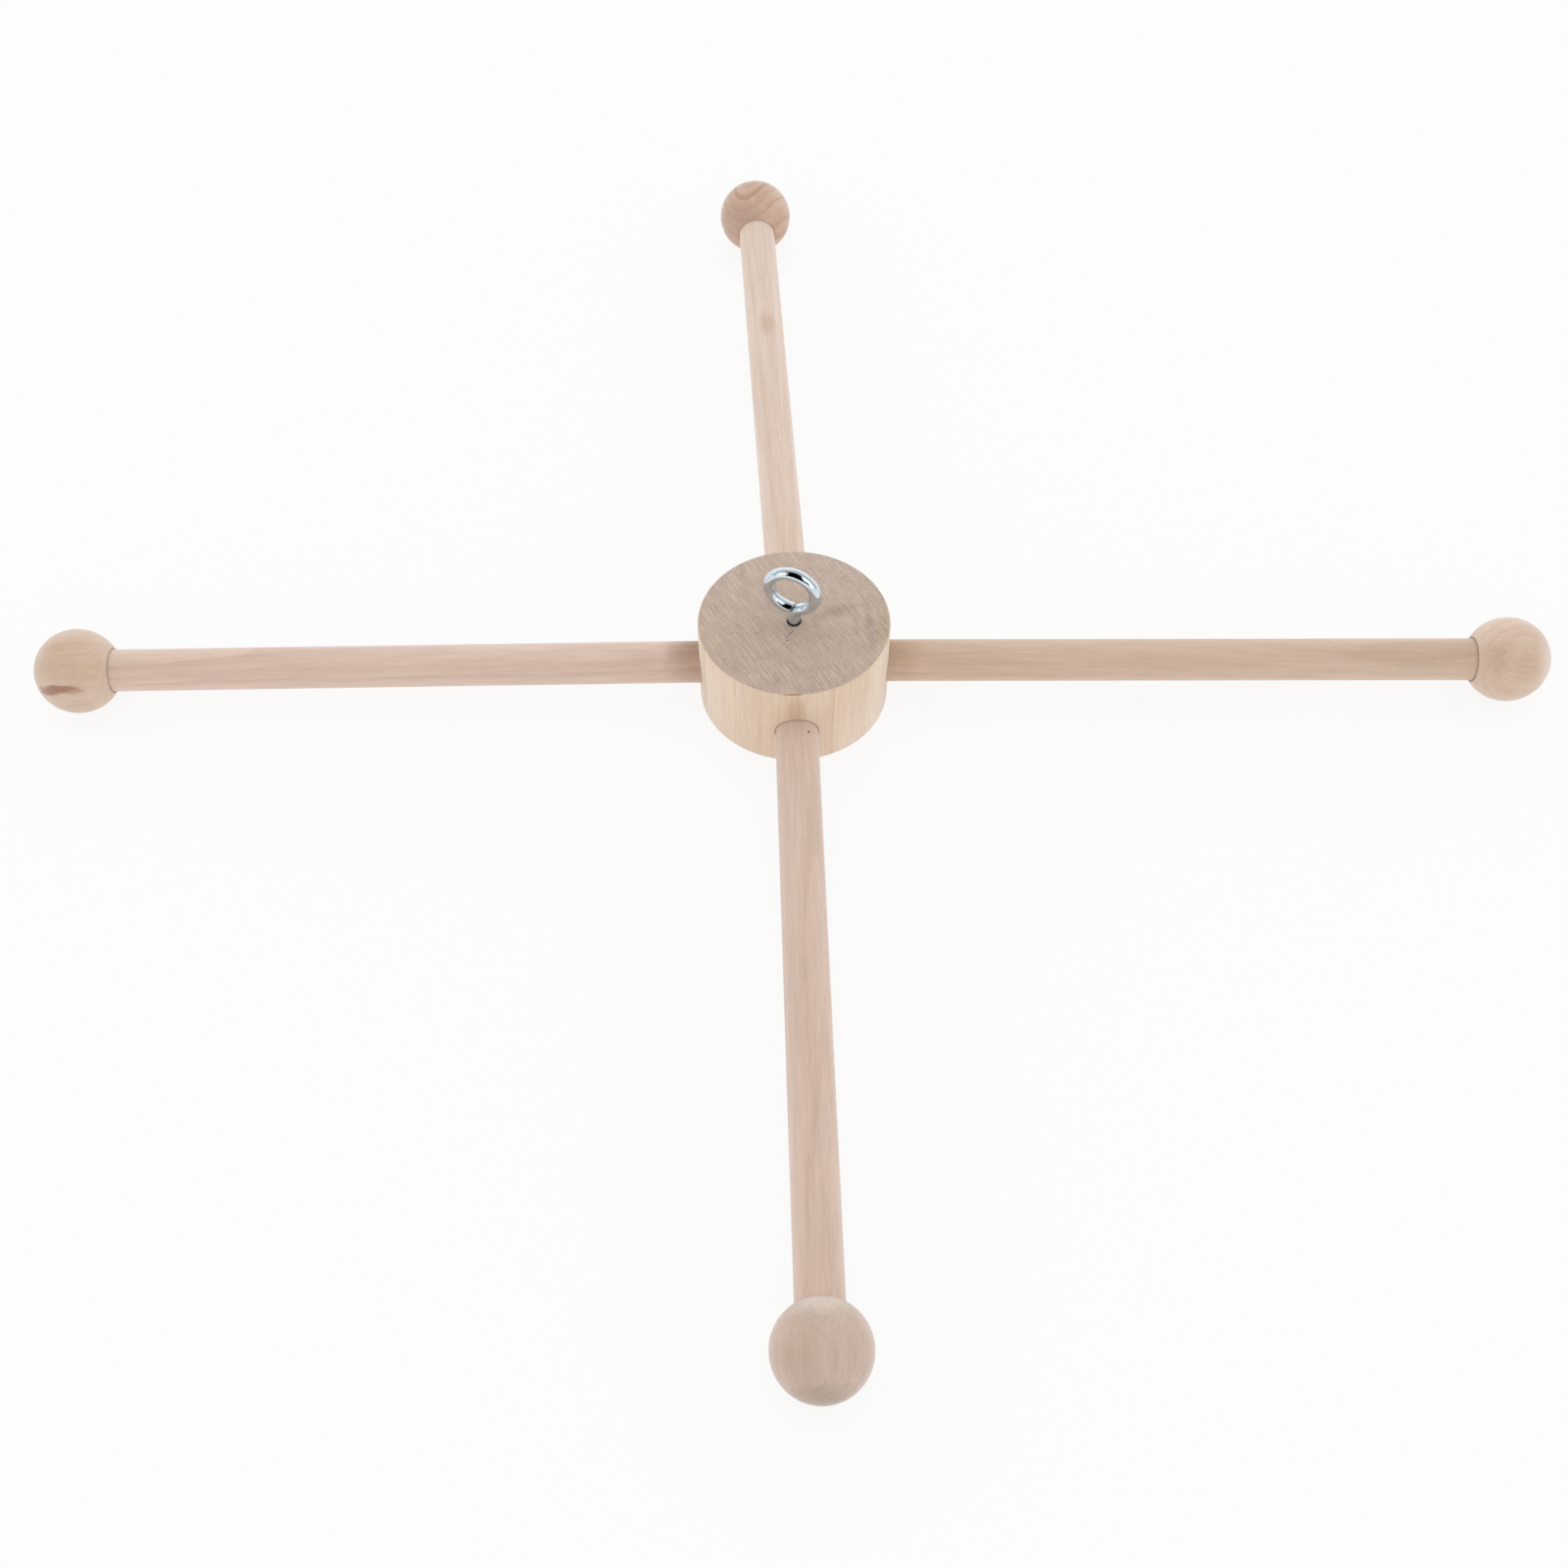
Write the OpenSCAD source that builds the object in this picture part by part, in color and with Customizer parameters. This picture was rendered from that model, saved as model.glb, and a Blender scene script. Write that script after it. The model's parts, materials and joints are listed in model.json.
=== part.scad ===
// Hanging mobile frame: a round wooden hub with four plug-in arms, a ball on the end of each arm,
// and a screw eye to hang it by.
// Frame: +Z up, +X on the right arm's side, -Y along the front arm. The origin is the centre of the base of the hub,
// and the balls stand on the same level as that base. All sizes are in millimetres.

/* [Hub] */
// Diameter of the hub disc
hub_d = 45; // [38:1:70]
// Height of the hub disc
hub_h = 24; // [22:1:40]
// Width of the sanded bevel round the hub's edges
hub_bevel = 0.4; // [0.2:0.1:1.2]

/* [Arms] */
// Diameter of the dowel arms
dowel_d = 10; // [7:0.5:12]
// Distance from the hub's axis to the centre of each ball
reach = 170; // [90:5:260]
// Bevel on both ends of a dowel
dowel_bevel = 0.8; // [0.3:0.1:1.5]
// Degrees by which the right arm is turned from square, since the sockets are drilled by eye
right_skew = -1.5; // [-4:0.5:4]
// Degrees by which the back arm is turned from square
back_skew = 2; // [-4:0.5:4]
// Degrees by which the left arm is turned from square
left_skew = -0.5; // [-4:0.5:4]
// Degrees by which the front arm is turned from square
front_skew = 0; // [-4:0.5:4]

/* [Sockets in the hub] */
// Depth of a socket, from the hub's rim
socket_depth = 13; // [9:0.5:14]
// Radial clearance between a dowel and its socket
socket_fit = 0.05; // [0.02:0.01:0.1]
// Space left between a dowel's end and the socket's floor
socket_end_gap = 0.3; // [0.1:0.05:0.6]
// How far the socket's mouth opens beyond the socket's wall
mouth_flare = 0.4; // [0.2:0.05:0.8]
// Depth of the flared mouth, from the hub's rim
mouth_depth = 1.6; // [1:0.1:3]
// Depth of the cone that the drill's point leaves in the socket's floor
drill_point = 1; // [0.5:0.1:2]

/* [Balls] */
// Diameter of the end balls
ball_d = 20; // [16:0.5:26]
// Depth of a ball's bore, from the ball's surface
ball_bore_depth = 11; // [8:0.5:13]
// Radial space for glue between a dowel and its ball
glue_gap = 0.05; // [0.02:0.01:0.1]
// Bevel round the mouth of a ball's bore
ball_bevel = 0.25; // [0.1:0.05:0.5]

/* [Screw eye] */
// Diameter of the wire
wire_d = 2.9; // [2:0.1:3.4]
// Radius of the eye, to the middle of the wire
eye_r = 5.6; // [4.5:0.1:7]
// Height of the eye's lowest point above the hub's top face
eye_clear = 2.9; // [1.5:0.05:6]
// How far the eye's centre lies to the side of the shank, away from the neck's bend
eye_offset = 0.45; // [0:0.05:1.5]
// Radius of the neck's bend, to the middle of the wire
neck_r = 3.6; // [2.1:0.1:4]
// How much thicker the wire's radius is in the neck's tight bend
neck_swell = 0.04; // [0.02:0.01:0.08]
// Space between the wire's cut end and the neck
eye_gap = 0.3; // [0.1:0.05:0.8]
// Bevel round the wire's cut end
wire_bevel = 0.25; // [0.1:0.05:0.4]
// Turn of the eye's plane about the shank, in degrees
eye_turn = -21; // [-90:1:90]
// Length of the shank in the hub, point included
shank_l = 15; // [10:0.5:18]
// Length of the shank's tapered point
point_l = 3; // [2:0.5:5]
// Distance from one thread ridge to the next
thread_pitch = 1.25; // [0.8:0.05:1.8]
// Depth of the thread
thread_depth = 0.4; // [0.2:0.05:0.5]
// Plain length of the shank between the hub's top face and the thread
plain_l = 2; // [1:0.5:4]

/* [Pilot hole] */
// Radial clearance between the thread's ridges and the hole
pilot_fit = 0.05; // [0.02:0.01:0.1]
// Depth of the hole past the screw's point
pilot_extra = 2; // [1:0.5:4]
// How far the hole's mouth opens beyond its wall
pilot_flare = 0.25; // [0.1:0.05:0.6]

/* [Hidden] */
// Names of the arms and their directions about the hub's axis
ARMS = [
    ["right", 0 + right_skew], ["back", 90 + back_skew],
    ["left", 180 + left_skew], ["front", 270 + front_skew]
];

$fn = 96;
// Length by which a cutting shape runs past the surface it cuts
over = 1;
// Length by which the shank and the eye run on inside the thicker neck
lap = 0.2;

hub_r = hub_d / 2;
dowel_r = dowel_d / 2;
ball_r = ball_d / 2;
wire_r = wire_d / 2;
// The arms' axis is as high as a ball's radius, so the balls stand level with the hub's base
arm_z = ball_r;

// A dowel runs from dowel_start to dowel_end, measured from the hub's axis
socket_floor = hub_r - socket_depth;
dowel_start = socket_floor + socket_end_gap;
ball_floor = reach - ball_r + ball_bore_depth;
dowel_end = ball_floor - glue_gap;
// Plane of the bore's mouth in the ball, measured from the ball's centre
ball_bore_r = dowel_r + glue_gap;
ball_mouth = sqrt(ball_r * ball_r - ball_bore_r * ball_bore_r);

// The neck's bend is an arc tangent to the shank, and the eye is an arc tangent to the neck's bend.
// Both lie in the eye's plane, with heights measured from the hub's top face.
eye_height = eye_clear + wire_r + eye_r;
neck_rise = sqrt(pow(neck_r + eye_r, 2) - pow(neck_r + eye_offset, 2));
neck_z = eye_height - neck_rise;
neck_angle = atan2(neck_rise, -(neck_r + eye_offset));
// The eye starts where the neck's bend ends, and its cut end stops eye_gap short of the neck's flank
eye_start = neck_angle - 180;
flank_r = neck_r + wire_r + neck_swell + eye_gap;
centres = neck_r + eye_r;
flank_angle = acos((centres * centres + eye_r * eye_r - flank_r * flank_r) / (2 * centres * eye_r));
lap_angle = asin(lap / eye_r);
eye_end = eye_start + 360 - flank_angle;

// The thread runs from the plain part of the shank down to the point
thread_l = shank_l - point_l - plain_l;
ridges = floor(thread_l / thread_pitch);
core_r = wire_r - thread_depth;
pilot_r = wire_r + pilot_fit;

hub_colour = "#e6d0b6";
dowel_colour = "#d9bda8";
ball_colour = "#d2b299";
steel_colour = "#c3cad0";

// Places its children on the arm that points in direction turn, with +X outwards along the arm
module on_arm(turn) {
    rotate([0, 0, turn])
        translate([0, 0, arm_z])
            children();
}

// A round bar along +X from x0 to x1 with bevelled ends
module bevelled_bar(x0, x1, r, bevel) {
    translate([x0, 0, 0])
        rotate([0, 90, 0])
            rotate_extrude()
                polygon([
                    [0, 0], [r - bevel, 0], [r, bevel],
                    [r, x1 - x0 - bevel], [r - bevel, x1 - x0], [0, x1 - x0]
                ]);
}

// The cut for one socket: a bore with a drill point's cone at its floor and a flared mouth
module socket_cut() {
    bore_r = dowel_r + socket_fit;
    flare_slope = mouth_flare / mouth_depth;
    translate([socket_floor, 0, 0])
        rotate([0, 90, 0])
            rotate_extrude()
                polygon([
                    [0, -drill_point], [drill_point, 0], [bore_r, 0],
                    [bore_r, socket_depth - mouth_depth],
                    [bore_r + flare_slope * (mouth_depth + over), socket_depth + over],
                    [0, socket_depth + over]
                ]);
}

// The cut for the screw eye's shank, from the hub's top face down, with a widened mouth
module pilot_cut() {
    depth = shank_l + pilot_extra;
    translate([0, 0, hub_h])
        rotate_extrude()
            polygon([
                [0, -depth], [pilot_r, -depth + pilot_r], [pilot_r, -pilot_flare],
                [pilot_r + pilot_flare + over, over], [0, over]
            ]);
}

module hub() {
    color(hub_colour)
        difference() {
            rotate_extrude()
                polygon([
                    [0, 0], [hub_r - hub_bevel, 0], [hub_r, hub_bevel],
                    [hub_r, hub_h - hub_bevel], [hub_r - hub_bevel, hub_h], [0, hub_h]
                ]);
            for (arm = ARMS)
                on_arm(arm[1]) socket_cut();
            pilot_cut();
        }
}

module dowel(turn) {
    color(dowel_colour)
        on_arm(turn)
            bevelled_bar(dowel_start, dowel_end, dowel_r, dowel_bevel);
}

// The cut for a ball's blind bore, along -X from its floor, with a bevelled mouth
module ball_cut() {
    bevel_start = ball_mouth - ball_r + ball_bore_depth - ball_bevel;
    cut_l = ball_bore_depth + over;
    translate([ball_floor, 0, 0])
        rotate([0, -90, 0])
            rotate_extrude()
                polygon([
                    [0, 0], [ball_bore_r, 0], [ball_bore_r, bevel_start],
                    [ball_bore_r + cut_l - bevel_start, cut_l], [0, cut_l]
                ]);
}

module ball(turn) {
    color(ball_colour)
        on_arm(turn)
            difference() {
                translate([reach, 0, 0])
                    rotate([0, 90, 0])
                        sphere(r = ball_r);
                ball_cut();
            }
}

// An arc of round bar in the XZ plane about centre, from angle start to angle end
module bar_arc(centre, arc_r, bar_r, start, end) {
    translate([centre[0], 0, centre[1]])
        rotate([90, 0, 0])
            rotate([0, 0, start])
                rotate_extrude(angle = end - start)
                    translate([arc_r, 0])
                        circle(r = bar_r);
}

// The cut that bevels the wire's cut end
module tip_cut() {
    translate([-eye_offset, 0, eye_height])
        rotate([0, -eye_end, 0])
            translate([eye_r, 0, 0])
                rotate_extrude()
                    polygon([
                        [wire_r - 2 * wire_bevel, wire_bevel], [wire_r + wire_bevel, wire_bevel],
                        [wire_r + wire_bevel, -2 * wire_bevel]
                    ]);
}

// Two points of the shank's outline: the valley and the crest of thread ridge i, counted from the point
function ridge(i) =
    let (z = -shank_l + point_l + i * thread_pitch)
    [[core_r, z], [wire_r, z + thread_pitch / 2]];

// The shank from its point up into the neck. The thread is drawn as ridges at its own pitch and depth.
module shank() {
    rotate_extrude()
        polygon(concat(
            [[0, -shank_l]],
            [for (i = [0:ridges - 1]) each ridge(i)],
            [
                [core_r, -shank_l + point_l + ridges * thread_pitch],
                [wire_r, -plain_l], [wire_r, neck_z + lap], [0, neck_z + lap]
            ]
        ));
}

module screw_eye() {
    color(steel_colour)
        translate([0, 0, hub_h])
            rotate([0, 0, eye_turn]) {
                shank();
                bar_arc([neck_r, neck_z], neck_r, wire_r + neck_swell, neck_angle, 180);
                difference() {
                    bar_arc([-eye_offset, eye_height], eye_r, wire_r, eye_start - lap_angle, eye_end);
                    tip_cut();
                }
            }
}

hub();
screw_eye();
for (arm = ARMS) {
    dowel(arm[1]);
    ball(arm[1]);
}
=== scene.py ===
"""A hanging mobile frame in bare wood: a round hub, four plug-in arms with end balls and a screw eye.

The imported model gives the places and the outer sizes. Lengths are in metres, and a name that ends in _mm is
in millimetres. Y runs back from the front arm, X to the right arm's side, and Z up from the hub's base.
"""

import json
import logging
import math
from collections.abc import Sequence
from dataclasses import dataclass
from enum import Enum

import bmesh
import bpy
from mathutils import Euler, Matrix, Vector, noise


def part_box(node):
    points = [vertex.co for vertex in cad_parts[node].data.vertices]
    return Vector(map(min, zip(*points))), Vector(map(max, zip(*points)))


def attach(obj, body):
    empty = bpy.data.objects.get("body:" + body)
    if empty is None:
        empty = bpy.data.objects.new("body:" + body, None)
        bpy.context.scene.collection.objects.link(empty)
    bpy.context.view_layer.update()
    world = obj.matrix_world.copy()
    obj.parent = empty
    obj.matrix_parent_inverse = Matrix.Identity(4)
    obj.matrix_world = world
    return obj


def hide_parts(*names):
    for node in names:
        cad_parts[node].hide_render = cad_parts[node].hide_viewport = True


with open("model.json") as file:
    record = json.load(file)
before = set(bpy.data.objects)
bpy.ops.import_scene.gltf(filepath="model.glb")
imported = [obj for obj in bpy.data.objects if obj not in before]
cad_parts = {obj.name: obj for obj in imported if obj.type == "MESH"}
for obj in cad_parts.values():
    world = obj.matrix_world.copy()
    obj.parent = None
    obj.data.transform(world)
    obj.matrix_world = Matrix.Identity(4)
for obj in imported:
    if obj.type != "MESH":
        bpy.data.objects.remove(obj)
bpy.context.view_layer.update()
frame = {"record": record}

log = logging.getLogger("mobile_frame")

MM = 0.001
FULL_TURN = 2 * math.pi
WELD = 1e-7
BEVEL_STEPS = 3
NOISE_MIDDLE = 0.5

# The Mix node's sockets for colours. Its sockets for numbers and vectors have the same names.
COLOUR_A = 6
COLOUR_B = 7
MIXED_COLOUR = 2

Triple = tuple[float, float, float]
Range = tuple[float, float]


def srgb(red: float, green: float, blue: float) -> Triple:
    """Turns a colour in screen values from 0 to 255 into linear light.

    Args:
        red: Red screen value.
        green: Green screen value.
        blue: Blue screen value.

    Returns:
        The colour's linear red, green and blue.
    """
    shares = (value / 255 for value in (red, green, blue))
    return tuple(s / 12.92 if s <= 0.04045 else ((s + 0.055) / 1.055) ** 2.4 for s in shares)


# ----------------------------------------------------------------------------------------------------------
# Shader graphs
# ----------------------------------------------------------------------------------------------------------


@dataclass(frozen=True)
class Field:
    """A noise field: its waves for each unit of length along each axis, its finer layers and its own warp.

    The patch is the noise at which a patch starts to show, and the noise at which it shows in full.
    """

    scales: Triple
    detail: float = 2.0
    warp: float = 0.0
    patch: Range = (0.25, 0.75)


class Value:
    """A number, vector or colour on its way through a shader graph. Arithmetic on it adds Math nodes."""

    def __init__(self, graph: "Graph", socket: bpy.types.NodeSocket) -> None:
        """Holds the socket that carries the value."""
        self.graph = graph
        self.socket = socket

    def _maths(self, operation: str, *terms: "Value | float") -> "Value":
        """Adds one Math node."""
        return self.graph.node("ShaderNodeMath", {"operation": operation}, dict(enumerate(terms)))

    def __add__(self, other: "Value | float") -> "Value":
        """Sum."""
        return self._maths("ADD", self, other)

    def __radd__(self, other: float) -> "Value":
        """Sum with a plain number first."""
        return self._maths("ADD", other, self)

    def __sub__(self, other: "Value | float") -> "Value":
        """Difference."""
        return self._maths("SUBTRACT", self, other)

    def __rsub__(self, other: float) -> "Value":
        """Difference with a plain number first."""
        return self._maths("SUBTRACT", other, self)

    def __mul__(self, other: "Value | float") -> "Value":
        """Product."""
        return self._maths("MULTIPLY", self, other)

    def __truediv__(self, other: "Value | float") -> "Value":
        """Quotient."""
        return self._maths("DIVIDE", self, other)

    def fraction(self) -> "Value":
        """The part after the point."""
        return self._maths("FRACT", self)

    def size(self) -> "Value":
        """The value without its sign."""
        return self._maths("ABSOLUTE", self)

    def rise(self, low: float, high: float) -> "Value":
        """A smooth rise from 0 at low to 1 at high. With low above high it falls instead.

        Args:
            low: Value at which the result is 0.
            high: Value at which the result is 1.

        Returns:
            The smoothed share.
        """
        limits = {"Value": self, "From Min": low, "From Max": high, "To Min": 0.0, "To Max": 1.0}
        if low > high:
            limits.update({"From Min": high, "From Max": low, "To Min": 1.0, "To Max": 0.0})
        return self.graph.node("ShaderNodeMapRange", {"interpolation_type": "SMOOTHSTEP"}, limits)


class Graph:
    """The node tree of one material or of the world."""

    def __init__(self, tree: bpy.types.NodeTree) -> None:
        """Empties the tree and keeps it."""
        tree.nodes.clear()
        self.tree = tree

    def node(
        self, kind: str, settings: dict | None = None, inputs: dict | None = None, output: int | str = 0
    ) -> Value | None:
        """Adds a node.

        Args:
            kind: The node's type.
            settings: Attributes of the node, set before its sockets.
            inputs: A value or a link for each input socket, by the socket's name or number.
            output: Name or number of the output to hand on.

        Returns:
            The output's value, or None for a node that has no output.
        """
        made = self.tree.nodes.new(kind)
        for name, setting in (settings or {}).items():
            setattr(made, name, setting)
        for key, value in (inputs or {}).items():
            socket = made.inputs[key]
            if isinstance(value, Value):
                self.tree.links.new(value.socket, socket)
            elif socket.type == "RGBA" and len(value) == len(Vector()):
                socket.default_value = (*value, 1.0)
            else:
                socket.default_value = value
        return Value(self, made.outputs[output]) if made.outputs else None

    def vector(self, operation: str, *terms: "Value | Triple | float", output: int | str = 0) -> Value:
        """Adds a Vector Math node."""
        return self.node("ShaderNodeVectorMath", {"operation": operation}, dict(enumerate(terms)), output)

    def stretch(self, place: Value, scales: Triple) -> Value:
        """Multiplies a place by one scale for each axis."""
        return self.vector("MULTIPLY", place, scales)

    def length(self, place: Value) -> Value:
        """The length of a vector."""
        return self.vector("LENGTH", place, output="Value")

    def noise(self, place: Value, field: Field) -> Value:
        """Adds a noise field.

        Args:
            place: The point at which the noise is read.
            field: The field's waves, layers and warp.

        Returns:
            The noise from 0 to 1.
        """
        inputs = {
            "Vector": self.stretch(place, field.scales),
            "Scale": 1.0,
            "Detail": field.detail,
            "Distortion": field.warp,
        }
        return self.node("ShaderNodeTexNoise", inputs=inputs, output="Fac")

    def wave(self, place: Value, field: Field) -> Value:
        """Adds a noise field that runs about 0."""
        return self.noise(place, field) - NOISE_MIDDLE

    def patches(self, place: Value, field: Field) -> Value:
        """Adds a noise field that shows as patches, 0 between them and 1 on them."""
        return self.noise(place, field).rise(*field.patch)

    def blend(self, share: Value | float, first: Value | Triple, second: Value | Triple) -> Value:
        """Mixes two colours.

        Args:
            share: How much of the second colour shows.
            first: The colour at share 0.
            second: The colour at share 1.

        Returns:
            The mixed colour.
        """
        inputs = {"Factor": share, COLOUR_A: first, COLOUR_B: second}
        return self.node("ShaderNodeMix", {"data_type": "RGBA"}, inputs, output=MIXED_COLOUR)

    def bump(self, height: Value, strength: float, depth: float) -> Value:
        """Turns a height into a bumped normal.

        Args:
            height: The surface's height, as a share of the depth.
            strength: How strongly the bumps show.
            depth: The bumps' depth.

        Returns:
            The bumped normal.
        """
        inputs = {"Strength": strength, "Distance": depth, "Height": height}
        return self.node("ShaderNodeBump", inputs=inputs, output="Normal")

    def placed(self, place: Value, origin: Triple, turn: Triple, scale: Triple = (1.0, 1.0, 1.0)) -> Value:
        """Reads a place in a frame of its own.

        Args:
            place: The place in the piece's frame.
            origin: Origin of the new frame.
            turn: Turn of the new frame about X, Y and Z, in degrees.
            scale: Length of the new frame's unit along each of its axes.

        Returns:
            The place in the new frame.
        """
        inputs = {
            "Vector": place,
            "Location": origin,
            "Rotation": tuple(math.radians(angle) for angle in turn),
            "Scale": scale,
        }
        return self.node("ShaderNodeMapping", {"vector_type": "TEXTURE"}, inputs)


# ----------------------------------------------------------------------------------------------------------
# Finishes
# ----------------------------------------------------------------------------------------------------------


# A mark's edge, read in the mark's own frame.
RAGGED_EDGE = Field((2.2, 2.2, 2.2), 3.0)

# Saw lines and dust, read in line spacings along and across the lines.
SAW_LINES = Field((0.06, 1.3, 0.0), 1.0, 0.1, patch=(0.34, 0.66))
SAW_DUST = Field((0.5, 0.9, 0.0), 1.0, patch=(0.60, 0.74))

# The rest of a sawn face, read in millimetres.
SAW_CLEAR = Field((0.16, 0.16, 0.16), patch=(0.25, 0.75))
SAW_PORES = Field((1.9, 1.9, 1.9), 1.0, patch=(0.62, 0.74))
SAW_MOTTLE = Field((0.3, 0.3, 0.3), 3.0)

# Wood, read in millimetres along and across the fibres.
WOOD_TONE = Field((0.02, 0.09, 0.09), patch=(0.3, 0.7))
RING_SWAY = Field((0.012, 0.06, 0.06), 1.0)
RING_EDGE = Field((0.06, 0.7, 0.7))
WOOD_FIBRE = Field((0.07, 1.3, 1.3), 4.0)
WOOD_HAIR = Field((0.3, 6.5, 6.5))
WOOD_PORES = Field((0.35, 5.0, 5.0), 1.0, patch=(0.60, 0.74))

# Zinc, read in millimetres.
ZINC_CLOUD = Field((0.5, 0.5, 0.5), 3.0, patch=(0.35, 0.75))
ZINC_GRIT = Field((5.0, 5.0, 5.0), 3.0)

# Shares of a growth ring over which it darkens into late wood, and over which that ends.
RING_DARKENS = (0.25, 0.93)
RING_ENDS = (1.0, 0.94)
# How strong the rings are: the waves for each ring, and where a ring starts to show and shows in full.
RING_CHANGE = 0.6
RING_SHOWS = (0.3, 0.75)
# How straight a face must look along the fibres to start to be end grain, and to be nothing else.
END_GRAIN = (0.55, 1.0)


@dataclass(frozen=True)
class Mark:
    """A stain, knot or streak, or a patch of painted shade or painted light: a soft ellipsoid of another
    colour inside the wood.
    """

    centre_mm: Triple
    half_mm: Triple
    colour: Triple
    strength: float = 1.0
    turn: Triple = (0.0, 0.0, 0.0)
    soft: float = 0.5
    ragged: float = 0.25

    def mask(self, graph: Graph, place: Value) -> Value:
        """Works out where the mark lies.

        Args:
            graph: The finish's node tree.
            place: The place on the piece, in millimetres.

        Returns:
            The mark's share of the colour, from 0 to its strength.
        """
        inside = graph.placed(place, self.centre_mm, self.turn, self.half_mm)
        edge = graph.wave(inside, RAGGED_EDGE) * (2 * self.ragged)
        reach = graph.length(inside) + edge
        return reach.rise(1.0, 1.0 - self.soft) * self.strength


@dataclass(frozen=True)
class Streaks:
    """Fine saw lines on the faces that the wood's fibres end in, with dusty flecks and open pores between."""

    heading: float
    spacing_mm: float
    strength: float
    flecks: float
    mottle: float
    faintest: float = 0.35
    clearest: float = 1.15

    def lines(self, graph: Graph, place: Value) -> Value:
        """Works out how light each point of the sawn face is.

        Args:
            graph: The finish's node tree.
            place: The place on the piece, in millimetres.

        Returns:
            The lightness about 0.
        """
        spacing = (self.spacing_mm, self.spacing_mm, self.spacing_mm)
        sawn = graph.placed(place, (0.0, 0.0, 0.0), (0.0, 0.0, self.heading), spacing)
        clear = graph.patches(place, SAW_CLEAR) * (self.clearest - self.faintest) + self.faintest
        lines = (graph.patches(sawn, SAW_LINES) - NOISE_MIDDLE) * clear
        specks = graph.patches(sawn, SAW_DUST) - graph.patches(place, SAW_PORES)
        cloud = graph.wave(place, SAW_MOTTLE)
        return lines * self.strength + specks * self.flecks + cloud * self.mottle


@dataclass(frozen=True)
class Wood:
    """Bare sanded wood: growth rings about a pith, fibres along it, pores, and marks: stains and streaks of
    its own, and some patches of painted shade and painted light.
    """

    name: str
    pale: Triple
    warm: Triple
    late: Triple
    end: Triple
    pith_mm: Triple
    fibre: Triple = (0.0, 0.0, 0.0)
    ring_mm: float = 2.6
    rings: float = 0.35
    ring_ragged: float = 0.125
    wander_mm: float = 3.0
    fibres: float = 0.30
    hairs: float = 0.18
    pores: float = 0.10
    clouds: float = 0.8
    end_share: float = 0.6
    relief: float = 0.25
    relief_depth: float = 0.1 * MM
    fibre_height: float = 0.6
    hair_height: float = 0.4
    pore_height: float = -0.5
    roughness: float = 0.62
    fibre_roughness: float = -0.3
    pore_roughness: float = 0.1
    refraction: float = 1.45
    fuzz: float = 0.5
    marks: tuple[Mark, ...] = ()
    saw: Streaks | None = None

    def grain(self, graph: Graph, place: Value) -> Value:
        """Draws the growth rings.

        Args:
            graph: The finish's node tree.
            place: The place in the log's frame, fibres along X, in millimetres.

        Returns:
            The share of late wood.
        """
        sway = graph.wave(place, RING_SWAY) * (2 * self.wander_mm)
        ragged = graph.wave(place, RING_EDGE) * (2 * self.ring_ragged * self.ring_mm)
        radius = graph.length(graph.stretch(place, (0.0, 1.0, 1.0)))
        ring = (radius + sway + ragged) / self.ring_mm
        phase = ring.fraction()
        late = phase.rise(*RING_DARKENS) * phase.rise(*RING_ENDS)
        inputs = {"W": ring * RING_CHANGE, "Scale": 1.0}
        strong = graph.node("ShaderNodeTexNoise", {"noise_dimensions": "1D"}, inputs)
        return late * strong.rise(*RING_SHOWS)

    def material(self, turn: float = 0.0) -> bpy.types.Material:
        """Makes the finish.

        Args:
            turn: Direction of the piece's own X axis about the hub's axis, in degrees.

        Returns:
            The material, ready to be given to a piece.
        """
        made = bpy.data.materials.new(self.name)
        made.use_nodes = True
        graph = Graph(made.node_tree)
        coordinates = graph.node("ShaderNodeTexCoord", output="Object")
        place = graph.placed(coordinates, (0.0, 0.0, 0.0), (0.0, 0.0, turn), (MM, MM, MM))
        log_place = graph.placed(place, self.pith_mm, self.fibre)

        tone = graph.patches(log_place, WOOD_TONE)
        late = self.grain(graph, log_place)
        fibre = graph.wave(log_place, WOOD_FIBRE)
        hair = graph.wave(log_place, WOOD_HAIR)
        pore = graph.patches(log_place, WOOD_PORES)

        normal = Value(graph, coordinates.socket.node.outputs["Normal"])
        turned = Matrix.Rotation(math.radians(turn), 3, "Z")
        axis = turned @ Euler([math.radians(angle) for angle in self.fibre]).to_matrix() @ Vector((1, 0, 0))
        facing = graph.vector("DOT_PRODUCT", normal, tuple(axis), output="Value").size()
        end = facing.rise(*END_GRAIN)

        colour = graph.blend(tone * self.clouds, self.pale, self.warm)
        colour = graph.blend(late * self.rings, colour, self.late)
        colour = graph.blend(end * self.end_share, colour, self.end)
        # Marks: stains, knots and streaks of the wood, and some patches of painted shade and painted light.
        for mark in self.marks:
            colour = graph.blend(mark.mask(graph, place), colour, mark.colour)

        shade = 1.0 + fibre * self.fibres + hair * self.hairs - pore * self.pores
        if self.saw:
            shade = shade + self.saw.lines(graph, place) * end
        colour = graph.vector("SCALE", colour)
        graph.tree.links.new(shade.socket, colour.socket.node.inputs["Scale"])

        height = fibre * self.fibre_height + hair * self.hair_height + pore * self.pore_height
        surface = graph.node(
            "ShaderNodeBsdfPrincipled",
            inputs={
                "Base Color": colour,
                "Roughness": self.roughness + fibre * self.fibre_roughness + pore * self.pore_roughness,
                "Normal": graph.bump(height, self.relief, self.relief_depth),
                "IOR": self.refraction,
                "Sheen Weight": self.fuzz,
            },
        )
        graph.node("ShaderNodeOutputMaterial", inputs={"Surface": surface})
        return made


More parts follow.
